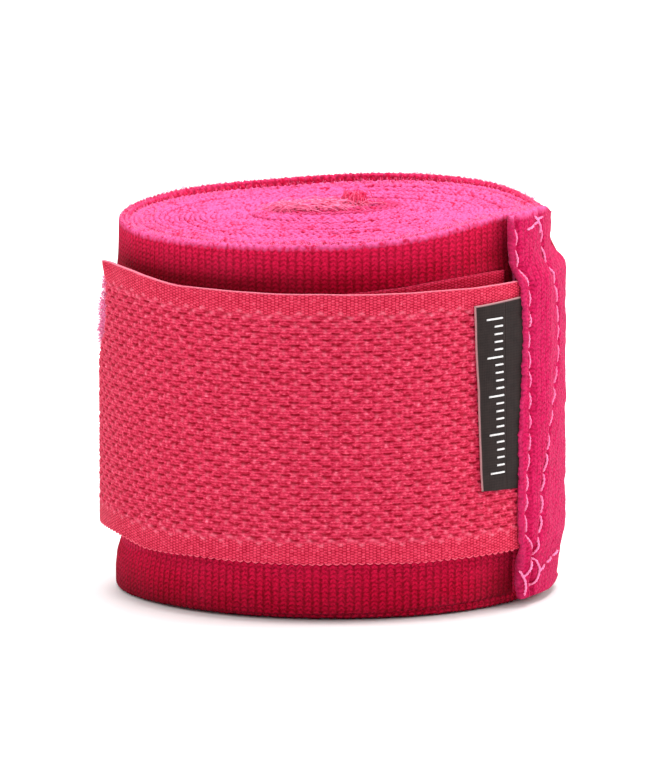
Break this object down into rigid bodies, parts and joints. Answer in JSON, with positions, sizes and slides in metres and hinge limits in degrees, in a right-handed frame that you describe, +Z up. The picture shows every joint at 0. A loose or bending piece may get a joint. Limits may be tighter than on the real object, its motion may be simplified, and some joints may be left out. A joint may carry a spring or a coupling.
{
  "type": "hand wrap",
  "caption": "Rolled elastic boxing hand wrap standing on edge, closed by a hook tape that peels open from a stitched hem with a small side label.",
  "frame": {"origin": "under the middle of the rolled wrap's own box, on the surface that it stands on", "axes": "+Z up along the roll's axis, the closure faces -Y, the hem is towards +X"},
  "size_m": [0.0621, 0.0608, 0.0525],
  "materials": {
    "elastic_strip": "ribbed elastic weave, matt with a soft sheen",
    "tape_webbing": "woven hook-and-loop tape backing with plain selvedges, matt",
    "hook_bristle": "fine stiff nylon hooks, slightly glossy",
    "loop_pile": "brushed loop pile, fuzzy",
    "pale_thread": "twisted polyester thread with a soft shine",
    "label_ribbon": "woven black ribbon with pale printed marks"
  },
  "bodies": {
    "roll": {"wrap_core_turns": "elastic_strip", "wrap_middle_turns": "elastic_strip", "wrap_outer_turns": "elastic_strip", "thumb_loop": "elastic_strip", "thumb_loop_bartack": "pale_thread", "loop_tape": "tape_webbing", "loop_pile": "loop_pile", "loop_tape_stitches": "pale_thread"},
    "tail": {"wrap_tail": "elastic_strip", "hem_fold": "elastic_strip", "hem_front_stitches": "pale_thread", "hem_rear_stitches": "pale_thread", "hem_cross_stitches": "pale_thread", "thread_tails": "pale_thread", "hook_tape_root": "tape_webbing"},
    "hook_1": {"hook_tape_1": "tape_webbing", "hook_bed_1": "hook_bristle"},
    "hook_2": {"hook_tape_2": "tape_webbing", "hook_bed_2": "hook_bristle"},
    "hook_3": {"hook_tape_3": "tape_webbing", "hook_bed_3": "hook_bristle"},
    "hook_4": {"hook_tape_4": "tape_webbing", "hook_bed_4": "hook_bristle"},
    "label": {"label": "label_ribbon"}
  },
  "joints": [
    {"name": "hook_tape_peel", "type": "hinge", "parent": "tail", "child": "hook_1", "pos_m": [0.02487, -0.01942, 0.025], "axis": [0, 0, 1], "range_deg": [0, 100]},
    {"name": "hook_bend_2", "type": "hinge", "parent": "hook_1", "child": "hook_2", "pos_m": [0.00927, -0.02915, 0.025], "axis": [0, 0, 1], "range_deg": [0, 25]},
    {"name": "hook_bend_3", "type": "hinge", "parent": "hook_2", "child": "hook_3", "pos_m": [-0.00905, -0.02893, 0.025], "axis": [0, 0, 1], "range_deg": [0, 25]},
    {"name": "hook_bend_4", "type": "hinge", "parent": "hook_3", "child": "hook_4", "pos_m": [-0.02422, -0.01846, 0.025], "axis": [0, 0, 1], "range_deg": [0, 25]},
    {"name": "tail_lift", "type": "hinge", "parent": "roll", "child": "tail", "pos_m": [0.02858, 0.01107, 0.025], "axis": [0, 0, 1], "range_deg": [0, 25]},
    {"name": "label_lift", "type": "hinge", "parent": "hook_1", "child": "label", "pos_m": [0.02274, -0.02172, 0.025], "axis": [0, 0, 1], "range_deg": [0, 60]}
  ],
  "couplings": [
    {"joint": "hook_bend_2", "follows": "hook_tape_peel", "ratio": 0.25},
    {"joint": "hook_bend_3", "follows": "hook_tape_peel", "ratio": 0.25},
    {"joint": "hook_bend_4", "follows": "hook_tape_peel", "ratio": 0.25},
    {"joint": "tail_lift", "follows": "hook_tape_peel", "ratio": 0.25}
  ]
}
